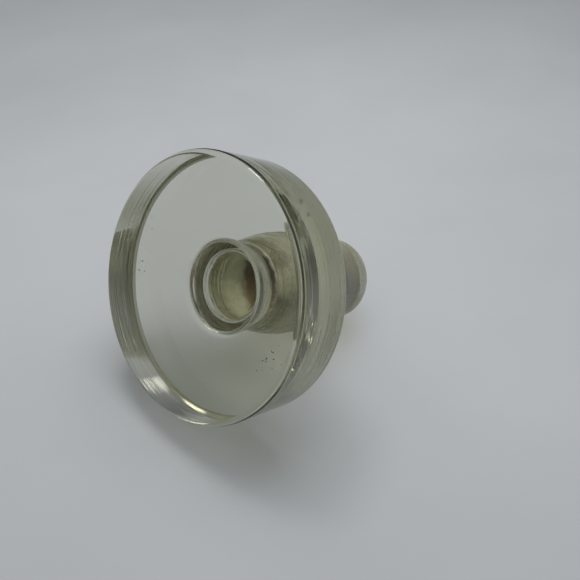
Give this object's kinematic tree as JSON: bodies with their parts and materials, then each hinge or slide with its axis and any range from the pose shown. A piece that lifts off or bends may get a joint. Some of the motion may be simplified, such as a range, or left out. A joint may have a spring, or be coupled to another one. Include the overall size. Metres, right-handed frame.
{
  "type": "glass insulator",
  "caption": "Clear glass pin insulator with a broad flat disc on a short hollow stem, open below for its support pin, with an old deposit on the hole's wall.",
  "frame": {"origin": "centre of the base ring, where the support pin enters the hole", "axes": "+Z along the axis, from the open base towards the closed disc; X and Y are any two square directions, because the piece is round"},
  "size_m": [0.0998, 0.0998, 0.09],
  "materials": {
    "clear_glass": "glossy",
    "old_deposit": "matte"
  },
  "bodies": {
    "root": {"glass_body": "clear_glass", "bore_lining": "old_deposit"}
  },
  "joints": []
}
